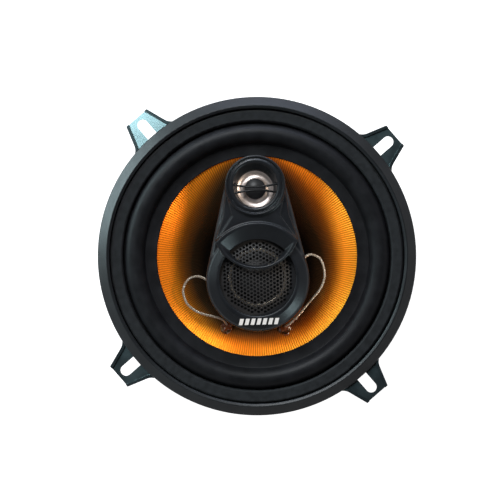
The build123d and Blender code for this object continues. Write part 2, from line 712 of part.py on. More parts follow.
def mid_surround():
    half, skin = 1.3, 0.25
    middle = MID_DOME_R + half + 0.2
    low = MID_SEAT_Z + GAP
    flange = strip(middle + half - skin, MID_RING_R, low, low + skin)
    return at_mid(spin(half_roll(middle, low, half, skin) + flange))


def mid_ring():
    """Bright clamp ring over the midrange surround's edge."""
    low = MID_SEAT_Z + GAP * 2 + 0.25
    inner_r = MID_RING_R - 1.4
    profile = strip(inner_r, MID_RING_R, low, low + 0.7)
    top = profile.vertices().sort_by(Axis.Y)[-2:]
    return at_mid(spin(fillet(top, 0.3)))


# ---- pod: tweeter --------------------------------------------------------------------------------
def at_tweeter(shape):
    return in_row(Pos(0, TWEETER_Y) * shape)


TWEETER_SEAT_Z = 13.55
TWEETER_FRAME_R = 9.3
TWEETER_DOME_R = 4.1
TWEETER_POT_R = 6.8
TWEETER_POT_Z = 8.2
TWEETER_MAGNET_Z = 9.1    # front of the pot's floor
TWEETER_PLATE_Z = 10.9
TWEETER_POT_TOP_Z = 12.1
GUARD_R = 0.4


def tweeter_frame():
    bore_r, channel_r, rim_r = TWEETER_POT_R + 0.05, TWEETER_OPEN_R + 0.1, TWEETER_FRAME_R
    low, step = 10.6, TWEETER_POT_TOP_Z + 0.1
    profile = outline(
        (bore_r, low), (rim_r, low), (rim_r, TWEETER_SEAT_Z), (channel_r, TWEETER_SEAT_Z),
        (channel_r, step), (bore_r, step))
    return at_tweeter(spin(profile))


def tweeter_pot():
    wall_r, rim_r = TWEETER_POT_R - 1.7, TWEETER_POT_R
    profile = outline(
        (0, TWEETER_POT_Z), (rim_r, TWEETER_POT_Z), (rim_r, TWEETER_POT_TOP_Z),
        (wall_r, TWEETER_POT_TOP_Z), (wall_r, TWEETER_MAGNET_Z), (0, TWEETER_MAGNET_Z))
    return at_tweeter(spin(profile))


def tweeter_magnet():
    return at_tweeter(disc(3.4, TWEETER_MAGNET_Z + GAP, TWEETER_PLATE_Z))


def tweeter_pole_plate():
    return at_tweeter(disc(3.65, TWEETER_PLATE_Z + GAP, TWEETER_POT_TOP_Z))


def tweeter_coil():
    coil_in_r = TWEETER_DOME_R - 0.3
    return at_tweeter(ring(coil_in_r, TWEETER_DOME_R, TWEETER_PLATE_Z, TWEETER_SEAT_Z - GAP))


def tweeter_dome():
    return at_tweeter(cap_shell(TWEETER_DOME_R, TWEETER_SEAT_Z, 15.1, 0.2))


def tweeter_surround():
    """Bright concave channel round the dome, with a flange on the frame."""
    inner_r = TWEETER_DOME_R + 0.08
    outer_r = TWEETER_OPEN_R - 0.05
    depth, skin = 1.0, 0.2
    low = TWEETER_SEAT_Z + GAP
    edge_r = TWEETER_FRAME_R - 0.1
    middle = (inner_r + outer_r) / 2
    upper = ThreePointArc((inner_r, low + skin), (middle, low + skin - depth), (outer_r, low + skin))
    flange = Polyline((outer_r, low + skin), (edge_r, low + skin), (edge_r, low), (outer_r, low))
    lower = ThreePointArc((outer_r, low), (middle, low - depth), (inner_r, low))
    return at_tweeter(spin(make_face(upper + flange + lower + Line(lower @ 1, upper @ 0))))


def guard_bars(radius):
    """Two thin bars across the bowl, closest together over the dome, their ends in the bowl's wall."""
    bars = []
    end, bend, top = (9.0, 1.85, 16.5), (4.0, 0.9, 16.85), (0.0, 0.68, 17.0)
    for side in (-1, 1):
        right = [(x, side * y, z) for x, y, z in (top, bend, end)]
        left = [(-x, side * y, z) for x, y, z in (end, bend)]
        bars.append(at_tweeter(tube_along(left + right, radius)))
    return bars


def tweeter_guard():
    return Compound(guard_bars(GUARD_R))


# ---- build ---------------------------------------------------------------------------------------
PARTS = {
    "basket": basket, "trim_ring": trim_ring, "gasket_ring": gasket_ring, "surround": surround,
    "top_plate": top_plate, "plate_rivets": plate_rivets, "magnet": magnet, "pole_yoke": pole_yoke,
    "cone": cone, "lead_eyelets": lead_eyelets, "lead_dabs": lead_dabs, "coil_former": coil_former,
    "voice_coil": voice_coil, "spider": spider,
    "terminal_board": terminal_board, "board_rivets": board_rivets, "tab_rivets": tab_rivets,
    "terminal_positive": lambda: spade_tab(-TAB_SPREAD, POSITIVE_TAB),
    "terminal_negative": lambda: spade_tab(TAB_SPREAD, NEGATIVE_TAB),
    "rear_lead_positive": lambda: rear_lead(-1), "rear_lead_negative": lambda: rear_lead(1),
    "front_lead_left": lambda: front_lead(-1), "front_lead_right": lambda: front_lead(1),
    "pod_base": pod_base, "pod_post": pod_post, "pod_screw": pod_screw, "pod_nut": pod_nut,
    "cover_screws": cover_screws, "crossover_capacitors": crossover_capacitors, "pod_cover": pod_cover,
    "mid_grille": mid_grille, "mid_frame": mid_frame, "mid_pot": mid_pot, "mid_magnet": mid_magnet,
    "mid_pole_plate": mid_pole_plate, "mid_coil": mid_coil, "mid_dome": mid_dome,
    "mid_surround": mid_surround, "mid_ring": mid_ring,
    "tweeter_frame": tweeter_frame, "tweeter_pot": tweeter_pot, "tweeter_magnet": tweeter_magnet,
    "tweeter_pole_plate": tweeter_pole_plate, "tweeter_coil": tweeter_coil,
    "tweeter_dome": tweeter_dome, "tweeter_surround": tweeter_surround, "tweeter_guard": tweeter_guard,
}

os.makedirs("parts", exist_ok=True)
for name, make in PARTS.items():
    export_step(make(), f"parts/{name}.step")
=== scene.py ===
"""Looks of a three-way coaxial car speaker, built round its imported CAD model.

Lengths are in metres. +Z points out of the speaker's front.
"""

from math import atan2, cos, pi, radians, sin, sqrt, tau

import bpy
import numpy as np
from mathutils import Matrix, Vector, noise


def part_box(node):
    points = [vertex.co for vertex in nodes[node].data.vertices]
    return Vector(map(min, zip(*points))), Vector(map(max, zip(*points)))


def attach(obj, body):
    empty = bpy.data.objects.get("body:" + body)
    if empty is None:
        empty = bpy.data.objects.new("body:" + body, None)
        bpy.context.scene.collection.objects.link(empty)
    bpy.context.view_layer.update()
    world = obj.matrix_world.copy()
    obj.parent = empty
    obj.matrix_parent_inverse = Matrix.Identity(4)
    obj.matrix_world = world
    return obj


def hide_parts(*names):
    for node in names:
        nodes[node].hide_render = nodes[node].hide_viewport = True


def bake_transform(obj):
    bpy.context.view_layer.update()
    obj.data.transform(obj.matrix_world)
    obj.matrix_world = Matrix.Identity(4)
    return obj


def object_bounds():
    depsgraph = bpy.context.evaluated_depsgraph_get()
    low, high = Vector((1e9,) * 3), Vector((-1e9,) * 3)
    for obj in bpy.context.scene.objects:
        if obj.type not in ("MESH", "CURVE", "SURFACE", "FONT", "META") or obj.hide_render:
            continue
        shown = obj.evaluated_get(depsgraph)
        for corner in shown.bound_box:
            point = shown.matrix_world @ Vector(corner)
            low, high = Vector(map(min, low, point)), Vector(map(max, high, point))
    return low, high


MM = 0.001
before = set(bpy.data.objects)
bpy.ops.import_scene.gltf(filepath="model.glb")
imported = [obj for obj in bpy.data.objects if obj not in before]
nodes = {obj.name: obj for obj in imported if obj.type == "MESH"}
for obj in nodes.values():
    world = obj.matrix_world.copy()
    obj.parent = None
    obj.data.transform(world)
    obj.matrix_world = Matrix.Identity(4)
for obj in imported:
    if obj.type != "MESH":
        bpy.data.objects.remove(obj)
cad_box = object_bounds()


# ---- places read from the CAD --------------------------------------------------------------------
def mesh_points(obj):
    """Every vertex of a mesh object, as an array of rows x, y, z."""
    flat = np.empty(len(obj.data.vertices) * 3, np.float32)
    obj.data.vertices.foreach_get("co", flat)
    return flat.reshape(-1, 3).astype(float)


def points(node):
    """Every vertex of a CAD node."""
    return mesh_points(nodes[node])


def centre(node):
    """The middle of a CAD node's box."""
    lo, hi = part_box(node)
    return (lo + hi) / 2


def ring_distance(co, about=(0.0, 0.0)):
    """How far each point is from a vertical axis."""
    return np.hypot(co[:, 0] - about[0], co[:, 1] - about[1])


def radii(node, about=(0.0, 0.0)):
    """Inner and outer radius of a turned CAD node."""
    r = ring_distance(points(node), about)
    return r.min(), r.max()


MID = centre("mid_dome").xy                     # axis of the midrange
TWEETER = centre("tweeter_dome").xy             # axis of the tweeter
POD_UP = (TWEETER - MID).normalized()           # the pod's long direction
POD_TURN = atan2(POD_UP.y, POD_UP.x) - pi / 2   # from +Y to that direction


# ---- materials -----------------------------------------------------------------------------------
class Look:
    """A procedural material, with short calls that add nodes. Lengths are in metres."""

    def __init__(self, name, colour, roughness, metallic=0.0):
        self.material = bpy.data.materials.new(name)
        self.material.use_nodes = True
        self.tree = self.material.node_tree
        self.shader = self.tree.nodes["Principled BSDF"]
        self.place = self.add("ShaderNodeTexCoord").outputs["Object"]
        self.colour = (*colour, 1.0)
        self.feed(self.shader.inputs["Base Color"], self.colour)
        self.feed(self.shader.inputs["Roughness"], roughness)
        self.feed(self.shader.inputs["Metallic"], metallic)
        self.normal = None

    def add(self, kind, **settings):
        """A new shader node with the given settings."""
        node = self.tree.nodes.new(kind)
        for key, value in settings.items():
            setattr(node, key, value)
        return node

    def feed(self, socket, value):
        """Links another node's output to a socket, or sets the socket to a plain value."""
        if isinstance(value, bpy.types.NodeSocket):
            self.tree.links.new(value, socket)
        else:
            socket.default_value = value

    def set(self, name, value):
        """Sets an input of the main shader."""
        self.feed(self.shader.inputs[name], value)

    def math(self, operation, *values):
        """The result of a math operation on sockets or numbers."""
        node = self.add("ShaderNodeMath", operation=operation)
        for socket, value in zip(node.inputs, values):
            self.feed(socket, value)
        return node.outputs[0]

    def stretched(self, scale):
        """The object's coordinates, scaled along each axis."""
        node = self.add("ShaderNodeMapping")
        self.feed(node.inputs["Vector"], self.place)
        self.feed(node.inputs["Scale"], scale)
        return node.outputs[0]

    def noise(self, size, detail=2.0, where=None, roughness=0.5):
        """Noise from 0 to 1 whose blotches are about size across."""
        node = self.add("ShaderNodeTexNoise")
        self.feed(node.inputs["Vector"], where or self.place)
        self.feed(node.inputs["Scale"], 1.0 / size)
        self.feed(node.inputs["Detail"], detail)
        self.feed(node.inputs["Roughness"], roughness)
        return node.outputs[0]

    def cells(self, size):
        """Distance to the nearest of many scattered points, about size apart."""
        node = self.add("ShaderNodeTexVoronoi")
        self.feed(node.inputs["Vector"], self.place)
        self.feed(node.inputs["Scale"], 1.0 / size)
        return node.outputs["Distance"]

    def span(self, value, low, high, to_low=0.0, to_high=1.0):
        """Maps low..high to to_low..to_high, clamped."""
        node = self.add("ShaderNodeMapRange")
        self.feed(node.inputs["Value"], value)
        self.feed(node.inputs["From Min"], low)
        self.feed(node.inputs["From Max"], high)
        self.feed(node.inputs["To Min"], to_low)
        self.feed(node.inputs["To Max"], to_high)
        return node.outputs[0]

    def mix(self, share, first, second):
        """A colour between first (share 0) and second (share 1)."""
        node = self.add("ShaderNodeMix", data_type="RGBA")
        colour_a, colour_b, colour_out = node.inputs[6], node.inputs[7], node.outputs[2]
        self.feed(node.inputs[0], share)
        for socket, colour in ((colour_a, first), (colour_b, second)):
            linked = isinstance(colour, bpy.types.NodeSocket)
            self.feed(socket, colour if linked else (*colour, 1.0))
        return colour_out

    def ramp(self, value, stops):
        """A colour ramp through (position, colour) stops."""
        node = self.add("ShaderNodeValToRGB")
        self.feed(node.inputs[0], value)
        elements = node.color_ramp.elements
        while len(elements) < len(stops):
            elements.new(0.5)
        for element, (position, colour) in zip(elements, stops):
            element.position = position
            element.color = (*colour, 1.0)
        return node.outputs[0]

    def split(self):
        """The object's x, y and z coordinates."""
        node = self.add("ShaderNodeSeparateXYZ")
        self.feed(node.inputs[0], self.place)
        return node.outputs

    def polar(self, about=(0.0, 0.0)):
        """Radius and angle about a vertical axis."""
        place = self.split()
        x = self.math("SUBTRACT", place[0], about[0])
        y = self.math("SUBTRACT", place[1], about[1])
        squares = self.math("ADD", self.math("MULTIPLY", x, x), self.math("MULTIPLY", y, y))
        return self.math("SQRT", squares), self.math("ARCTAN2", y, x)

    def bump(self, height, depth):
        """Raises the surface by height (0 to 1) times depth, over any bump already there."""
        node = self.add("ShaderNodeBump")
        self.feed(node.inputs["Height"], height)
        self.feed(node.inputs["Distance"], depth)
        self.feed(node.inputs["Strength"], 1.0)
        if self.normal:
            self.feed(node.inputs["Normal"], self.normal)
        self.normal = node.outputs[0]
        self.set("Normal", self.normal)

    def mottle(self, size, colour, roughness):
        """Uneven colour and roughness over patches of a size.

        Each is a (low, high) pair, the colour pair as shares of the base colour.
        """
        value = self.noise(size, 4.0)
        dark = [c * colour[0] for c in self.colour[:3]]
        light = [c * colour[1] for c in self.colour[:3]]
        self.set("Base Color", self.mix(self.span(value, 0.35, 0.65), dark, light))
        self.set("Roughness", self.span(value, 0.3, 0.7, roughness[0], roughness[1]))


def powder_coat():
    """Black coat on stamped steel with fine orange peel.

    It is glossy up to the ears' faces and dull where the ears' edges rise above them.
    """
    ear_face = 1.1 * MM     # just over the front face of the 1 mm sheet
    look = Look("powder_coat", (0.012, 0.0122, 0.013), 0.2)
    look.mottle(6 * MM, (0.85, 1.3), (0.17, 0.22))
    height = look.split()[2]
    look.set("Specular IOR Level", look.span(height, ear_face, ear_face + 0.3 * MM, 0.5, 0.04))
    look.bump(look.noise(1.4 * MM, 2.0), 0.003 * MM)
    look.bump(look.noise(0.3 * MM, 1.0), 0.0006 * MM)
    return look.material


def moulded(name, colour, roughness, shine=0.4, grain=0.16, depth=0.006):
    """Black moulded plastic with a fine sparked texture, faint flow marks and dust."""
    look = Look(name, colour, roughness)
    look.mottle(9 * MM, (0.9, 1.15), (roughness - 0.04, roughness + 0.05))
    look.bump(look.noise(grain * MM, 3.0, roughness=0.65), depth * MM)
    look.set("Specular IOR Level", shine)
    return look.material


def pressed_card():
    """Gasket ring: dense black fibre, slightly furry and dull."""
    look = Look("pressed_card", (0.011, 0.0112, 0.012), 0.62)
    look.mottle(2.5 * MM, (0.8, 1.4), (0.55, 0.72))
    fibres = look.noise(0.28 * MM, 4.0, look.stretched((1.0, 1.0, 0.4)), 0.7)
    look.bump(fibres, 0.03 * MM)
    look.set("Specular IOR Level", 0.2)
    return look.material


def rubber():
    """Moulded rubber: satin, with faint moulding rings and a little bloom."""
    look = Look("surround_rubber", (0.010, 0.010, 0.0112), 0.5)
    look.set("Specular IOR Level", 0.2)
    look.mottle(5 * MM, (0.85, 1.25), (0.4, 0.5))
    radius = look.polar()[0]
    rings = look.math("SINE", look.math("MULTIPLY", radius, tau / (0.55 * MM)))
    look.bump(rings, 0.0015 * MM)
    look.bump(look.noise(0.25 * MM, 2.0), 0.006 * MM)
    return look.material


RIBS = 266      # radial ribs pressed into the cone
CONE_PRINT_AND_SHADE_STOPS = (  # the film's colours, partly its print and partly painted shade, from the cone's neck at 0 to the surround at 1
    (0.00, (0.012, 0.007, 0.006)),
    (0.36, (0.055, 0.024, 0.013)),
    (0.50, (0.20, 0.055, 0.014)),
    (0.60, (0.38, 0.088, 0.011)),
    (0.70, (0.76, 0.182, 0.012)),
    (0.80, (1.0, 0.240, 0.014)),
    (0.92, (0.80, 0.190, 0.011)))


def nearness(look, centre, radius, reach):
    """1 within a radius of a vertical axis, fading outside it over about the reach."""
    outside = look.math("SUBTRACT", look.polar(centre)[0], radius)
    fading = look.math("EXPONENT", look.math("DIVIDE", outside, -reach))
    return look.math("MINIMUM", fading, 1.0)


def cone_film(inner, outer):
    """Lacquered film, printed black at the neck to orange at the edge; the darkening toward the neck is
    partly that print and partly painted shade of the deep cone.

    A painted shadow of the pod darkens it round the pod, and painted shade darkens it between the ribs.
    """
    look = Look("cone_film", (0.7, 0.3, 0.02), 0.34)
    radius, angle = look.polar()
    fan = look.add("ShaderNodeCombineXYZ")
    look.feed(fan.inputs[0], look.math("MULTIPLY", angle, 40.0))
    look.feed(fan.inputs[1], look.math("MULTIPLY", radius, 60.0))
    streaks = look.noise(0.25, 3.0, fan.outputs[0])
    # Painted shade: the ramp darkens toward the neck, partly as the film's print and partly as painted
    # shade of the deep cone.
    along = look.span(radius, inner, outer)
    uneven = look.math("MULTIPLY", look.math("SUBTRACT", streaks, 0.5), 0.06)
    # Painted shadow of the pod: the film is darkened near the tweeter cup and the midrange ring.
    cup_shadow = nearness(look, TWEETER + POD_UP * 1.3 * MM, 12 * MM, 8.5 * MM)
    ring_shadow = nearness(look, MID, 20.5 * MM, 6 * MM)
    pod_shadow = look.math("MULTIPLY", look.math("MAXIMUM", cup_shadow, ring_shadow), 0.45)
    along = look.math("SUBTRACT", look.math("ADD", along, uneven), pod_shadow)
    sunburst_and_shade = look.ramp(along, CONE_PRINT_AND_SHADE_STOPS)
    # Painted shade between the ribs: the colour darkens toward black in each rib's valley.
    crest = look.math("COSINE", look.math("MULTIPLY", angle, float(RIBS)))
    rib_valley_shade = look.span(crest, -1.0, 0.4, 0.5, 0.0)
    look.set("Base Color", look.mix(rib_valley_shade, sunburst_and_shade, (0.004, 0.002, 0.002)))
    look.set("Metallic", 0.3)
    look.set("Specular IOR Level", look.span(along, 0.3, 0.8, 0.1, 1.0))
    look.set("Specular Tint", (1.0, 0.72, 0.08, 1.0))
    look.set("Roughness", look.span(streaks, 0.3, 0.7, 0.3, 0.42))
    return look.material


def spider_cloth():
    """Resin-stiffened cotton: amber, with a plain weave."""
    look = Look("spider_cloth", (0.55, 0.36, 0.11), 0.75)
    look.mottle(4 * MM, (0.75, 1.15), (0.65, 0.85))
    across = look.split()
    thread = tau / (0.7 * MM)
    warp = look.math("SINE", look.math("MULTIPLY", across[0], thread))
    weft = look.math("SINE", look.math("MULTIPLY", across[1], thread))
    look.bump(look.math("MULTIPLY", warp, weft), 0.06 * MM)
    return look.material


def tinsel():
    """Braided tinsel wire: silver-plated strands over beige cotton."""
    look = Look("tinsel", (0.62, 0.52, 0.40), 0.42, 0.55)
    glint = look.noise(0.35 * MM, 2.0)
    silvered = look.span(glint, 0.42, 0.6)
    look.set("Base Color", look.mix(silvered, (0.30, 0.21, 0.13), (0.86, 0.80, 0.70)))
    look.set("Metallic", look.span(glint, 0.42, 0.6, 0.1, 0.9))
    look.bump(look.noise(0.16 * MM, 2.0), 0.03 * MM)
    return look.material


def adhesive():
    """Translucent brown contact adhesive."""
    look = Look("adhesive", (0.20, 0.055, 0.016), 0.2)
    look.mottle(1.6 * MM, (0.5, 1.5), (0.12, 0.3))
    look.set("Subsurface Weight", 0.35)
    look.set("Subsurface Radius", (1.6 * MM, 0.6 * MM, 0.3 * MM))
    look.set("Coat Weight", 0.6)
    look.set("Coat Roughness", 0.12)
    look.bump(look.noise(0.9 * MM, 2.0), 0.04 * MM)
    return look.material


def turned_metal(name, colour, roughness, pitch=0.18):
    """Metal with fine concentric tool marks and uneven plating."""
    look = Look(name, colour, roughness, 1.0)
    look.mottle(5 * MM, (0.93, 1.04), (roughness - 0.03, roughness + 0.05))
    radius = look.polar()[0]
    marks = look.math("SINE", look.math("MULTIPLY", radius, tau / (pitch * MM)))
    wander = look.noise(1.2 * MM, 2.0)
    look.bump(look.math("MULTIPLY", marks, wander), 0.002 * MM)
    return look.material


def ferrite():
    """Sintered ferrite: dull charcoal with grinding marks and small pits."""
    look = Look("ferrite", (0.048, 0.048, 0.052), 0.62)
    look.mottle(3 * MM, (0.7, 1.35), (0.5, 0.75))
    look.bump(look.noise(0.5 * MM, 4.0, roughness=0.7), 0.03 * MM)
    pits = look.span(look.cells(2.2 * MM), 0.0, 0.14)
    look.bump(pits, 0.06 * MM)
    return look.material


def copper_wire():
    """Enamelled copper wire, wound in turns along the axis, with painted shade in the grooves between
    turns.
    """
    look = Look("copper_wire", (0.66, 0.25, 0.09), 0.28, 1.0)
    height = look.split()[2]
    turns = look.math("SINE", look.math("MULTIPLY", height, tau / (0.22 * MM)))
    look.bump(turns, 0.05 * MM)
    # Painted shade: the colour darkens in the grooves between the turns.
    groove_shade_mix = look.span(turns, -1.0, 1.0)
    look.set("Base Color", look.mix(groove_shade_mix, (0.28, 0.08, 0.03), (0.78, 0.33, 0.13)))
    return look.material


def phenolic_board():
    """Brown phenolic paper board with fibres showing."""
    look = Look("phenolic_board", (0.23, 0.11, 0.045), 0.5)
    look.mottle(1.5 * MM, (0.75, 1.2), (0.42, 0.6))
    look.bump(look.noise(0.3 * MM, 3.0, look.stretched((0.3, 1.0, 1.0))), 0.015 * MM)
    return look.material


def plain_metal(name, colour, roughness, grain=0.3, depth=0.004):
    """Bright or plated metal, slightly uneven."""
    look = Look(name, colour, roughness, 1.0)
    look.mottle(2 * MM, (0.88, 1.06), (roughness - 0.04, roughness + 0.06))
    look.bump(look.noise(grain * MM, 2.0), depth * MM)
    return look.material


def gloss_film(name, colour, roughness):
    """Thin formed film: smooth, with slight waviness."""
    look = Look(name, colour, roughness)
    look.mottle(3 * MM, (0.85, 1.15), (roughness - 0.04, roughness + 0.06))
    look.bump(look.noise(0.5 * MM, 2.0), 0.01 * MM)
    look.set("Specular IOR Level", 0.4)
    return look.material


def white_ink():
    """Pad-printed white ink, slightly patchy."""
    look = Look("white_ink", (0.84, 0.85, 0.86), 0.5)
    look.mottle(0.8 * MM, (0.9, 1.03), (0.45, 0.6))
    look.bump(look.noise(0.2 * MM, 2.0), 0.01 * MM)
    return look.material


# ---- mesh helpers --------------------------------------------------------------------------------
def piece(name, verts, faces, material, sharp=35.0):
    """A mesh object, shaded smooth except across edges sharper than the given angle."""
    mesh = bpy.data.meshes.new(name)
    mesh.from_pydata([tuple(v) for v in verts], [], faces)
    mesh.validate()
    mesh.materials.append(material)
    mesh.shade_smooth()
    mesh.set_sharp_from_angle(angle=radians(sharp))
    obj = bpy.data.objects.new(name, mesh)
    bpy.context.scene.collection.objects.link(obj)
    return obj


def lattice_faces(rows, columns, closed_rows, closed_columns):
    """Quads between the points of a rows x columns lattice, wrapping round where a side is closed."""
    faces = []
    for i in range(rows if closed_rows else rows - 1):
        for j in range(columns if closed_columns else columns - 1):
            k, m = (i + 1) % rows, (j + 1) % columns
            faces.append((i * columns + j, i * columns + m, k * columns + m, k * columns + j))
    return faces


def turned(name, outline, material, segments=288, about=(0.0, 0.0), sharp=35.0):
    """A closed (radius, height) outline, counterclockwise, swept once round a vertical axis."""
    angles = np.arange(segments) * tau / segments
    r, z = np.array(outline).T
    x = about[0] + np.outer(np.cos(angles), r)
    y = about[1] + np.outer(np.sin(angles), r)
    verts = np.stack([x, y, np.tile(z, (segments, 1))], axis=-1).reshape(-1, 3)
    faces = lattice_faces(segments, len(outline), True, True)
    return piece(name, verts, faces, material, sharp)


def arc(middle, radius, start, end, steps):
    """Points on an arc in the (radius, height) plane, angles in degrees."""
    angles = [radians(start + (end - start) * i / steps) for i in range(steps + 1)]
    return [(middle[0] + radius * cos(a), middle[1] + radius * sin(a)) for a in angles]


def applied(obj, kind, **settings):
    """Adds a modifier and applies it to the mesh."""
    modifier = obj.modifiers.new(kind.lower(), kind)
    for key, value in settings.items():
        setattr(modifier, key, value)
    graph = bpy.context.evaluated_depsgraph_get()
    mesh = bpy.data.meshes.new_from_object(obj.evaluated_get(graph), depsgraph=graph)
    obj.modifiers.remove(modifier)
    obj.data = mesh
    return obj


def bend_by(obj):
    """Bakes obj's placement into its mesh."""
    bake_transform(obj)


def standing_for(obj, node, body):
    """The piece takes a CAD node's place on a body."""
    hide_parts(node)
    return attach(obj, body)


def smoothstep(t):
    """0 to 1 with a soft start and end."""
    t = np.clip(t, 0.0, 1.0)
    return t * t * (3 - 2 * t)


# ---- cone, surround and spider -------------------------------------------------------------------
RIB_HEIGHT = 0.14 * MM
CONE_THICK = 0.8 * MM


def cone_rings():
    """Radii and heights of the rings of points on the CAD cone's front, from the neck to the lip."""
    co = points("cone")
    normals = np.array([v.normal for v in nodes["cone"].data.vertices])
    facing = co[normals[:, 2] > 0.3]
    r = np.round(ring_distance(facing), 5)
    values, counts = np.unique(r, return_counts=True)
    ringed = values[counts > 60]
    heights = np.array([facing[r == value][:, 2].max() for value in ringed])
    return ringed, heights


def cone_front():
    """The CAD cone's front height as a function of radius.

    It is an arc through three of the cone's rings, then the flat lip.
    """
    ring_r, ring_z = cone_rings()
    neck, near_edge, edge = (np.array([ring_r[i], ring_z[i]]) for i in (0, -3, -2))
    chords = np.array([near_edge - neck, edge - neck])
    squares = np.array([near_edge @ near_edge - neck @ neck, edge @ edge - neck @ neck])
    middle = np.linalg.solve(2 * chords, squares)
    reach = np.linalg.norm(edge - middle)

    def height(radius):
        across = np.minimum(radius, edge[0]) - middle[0]
        return middle[1] + np.sqrt(reach**2 - across**2)

    return height


def cone_sheet(r, depth, fade):
    """One face of the ribbed cone, a depth under its front: rows round the axis, columns along r."""
    z = cone_front()(r)
    slope = np.gradient(z, r)
    normal = np.stack([-slope, np.ones_like(slope)], axis=1)
    normal /= np.linalg.norm(normal, axis=1)[:, None]
    columns = RIBS * 2
    angles = np.arange(columns) * tau / columns
    wave = np.where(np.arange(columns) % 2 == 0, 0.0, -1.0)
    lift = np.outer(wave, fade * RIB_HEIGHT) - depth
    rr = r + lift * normal[:, 0]
    zz = z + lift * normal[:, 1]
    return np.stack([rr * np.cos(angles)[:, None], rr * np.sin(angles)[:, None], zz], axis=-1)


def make_cone(material, back):
    """Thin cone pressed with fine radial ribs that fade out at the neck and at the glue lip."""
    inner, lip = radii("cone")
    edge = radii("surround")[0]
    r = np.concatenate([np.linspace(inner, edge, 40), np.linspace(edge, lip, 5)[1:]])
    fade = smoothstep((r - inner) / (6 * MM)) * smoothstep((lip - r) / (lip - edge))
    front = cone_sheet(r, 0.0, fade)
    rear = cone_sheet(r, CONE_THICK, fade)
    lattice = np.concatenate([rear, front[:, ::-1]], axis=1)
    rows, columns = lattice.shape[:2]
    faces = [f[::-1] for f in lattice_faces(rows, columns, True, True)]
    obj = piece("ribbed_cone", lattice.reshape(-1, 3), faces, material, sharp=4.0)
    obj.data.materials.append(back)
    facing = np.empty(len(obj.data.polygons) * 3, np.float32)
    obj.data.polygons.foreach_get("normal", facing)
    obj.data.polygons.foreach_set("material_index", (facing[2::3] < 0).astype(np.int32))
    return standing_for(obj, "cone", "cone")


def make_surround(material):
    """Half-roll surround with softened feet."""
    co = points("surround")
    r = ring_distance(co)
    apex_r, inner, outer = r[co[:, 2].argmax()], r.min(), r.max()
    low, half = co[:, 2].min(), np.ptp(co[:, 2])
    skin = 0.6 * MM
    foot = 0.7 * MM
    corner = 0.2 * MM
    top = low + skin
    foot_z = top + foot * 0.18

    def roll(outset):
        return arc((apex_r, low + skin / 2), half - skin / 2 + outset, 0, 180, 40)

    outline = [(outer, low), (outer, top)]
    outline += [(apex_r + half + foot * 0.7, top), (apex_r + half + foot * 0.1, foot_z)]
    outline += [p for p in roll(skin / 2) if p[1] > top + foot * 0.35]
    outline += [(apex_r - half - foot * 0.1, foot_z), (apex_r - half - foot * 0.7, top)]
    outline += [(inner + corner * 1.25, top), (inner, top - corner), (inner, low)]
    outline += [(apex_r - half + skin * 0.6, low)]
    outline += [p for p in roll(-skin / 2) if p[1] > low + foot * 0.2][::-1]
    outline += [(apex_r + half - skin * 0.6, low)]
    obj = turned("rubber_surround", outline, material, 360)
    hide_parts("surround")
    at = ring_distance(mesh_points(obj))
    bend_by(obj)
    return obj


def make_spider(material):
    """Corrugated cloth damper."""
    inner, outer = radii("spider")
    lo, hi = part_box("spider")
    middle = (lo.z + hi.z) / 2
    thick = 0.45 * MM
    waves = 9
    first = inner + 1.2 * MM
    last = inner + 16.05 * MM
    swing = (hi.z - lo.z - thick) / 2 * 0.95
    r = np.linspace(inner, outer, 150)
    t = (r - first) / (last - first)
    z = middle - np.where((t > 0) & (t < 1), np.sin(t * waves * pi), 0.0) * swing
    outline = [(a, b + thick / 2) for a, b in zip(r[::-1], z[::-1])]
    outline += [(a, b - thick / 2) for a, b in zip(r, z)]
    obj = turned("spider_cloth", outline, material, 200)
    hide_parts("spider")
    at = ring_distance(mesh_points(obj))
    bend_by(obj)
    return obj


# ---- leads and adhesive --------------------------------------------------------------------------
LEAD_RADIUS = 0.55 * MM     # of the CAD's tubes
LEAD_STEP = 0.22 * MM
BUNDLE_RADIUS = 0.52 * MM
STRAND_RADIUS = 0.27 * MM
TWIST_PITCH = 3.4 * MM


def centreline(node, radius, step=0.6 * MM):
    """Points along the middle of a CAD tube, from its lowest end."""
    co = points(node)
    start = co[co[:, 2].argmin()]
    here = co[np.linalg.norm(co - start, axis=1) < 1.2 * radius].mean(axis=0)
    far = co[np.linalg.norm(co - here, axis=1) < 4 * radius].mean(axis=0)
    heading = (far - here) / np.linalg.norm(far - here)
    line = [here]
    for _ in range(400):
        ahead = line[-1] + heading * step
        near = co[np.linalg.norm(co - ahead, axis=1) < 1.5 * radius]
        if len(near) < 12:
            break
        middle = near.mean(axis=0)
        forward = middle - line[-1]
        if forward @ heading < 0.3 * step:
            break
        heading = forward / np.linalg.norm(forward)
        line.append(middle)
    line = np.array(line)
    for _ in range(3):
        line[1:-1] = (line[:-2] + 2 * line[1:-1] + line[2:]) / 4
    return line


def resampled(line, step):
    """The line with points about a step apart, and each one's distance along it."""
    lengths = np.concatenate([[0], np.cumsum(np.linalg.norm(np.diff(line, axis=0), axis=1))])
    marks = np.linspace(0, lengths[-1], int(lengths[-1] / step))
    return np.stack([np.interp(marks, lengths, line[:, k]) for k in range(3)], axis=1), marks


def lead_line(node):
    """A lead's middle line from its lowest end, and the distances along it."""
    return resampled(centreline(node, LEAD_RADIUS), LEAD_STEP)


def frames_along(line):
    """Two unit vectors across the line at each point, carried along without twist."""
    tangent = np.gradient(line, axis=0)
    tangent /= np.linalg.norm(tangent, axis=1)[:, None]
    side = np.cross(tangent[0], (0.0, 0.0, 1.0))
    sides = []
    for t in tangent:
        side = side - t * (side @ t)
        side /= np.linalg.norm(side)
        sides.append(side)
    sides = np.array(sides)
    return sides, np.cross(tangent, sides)


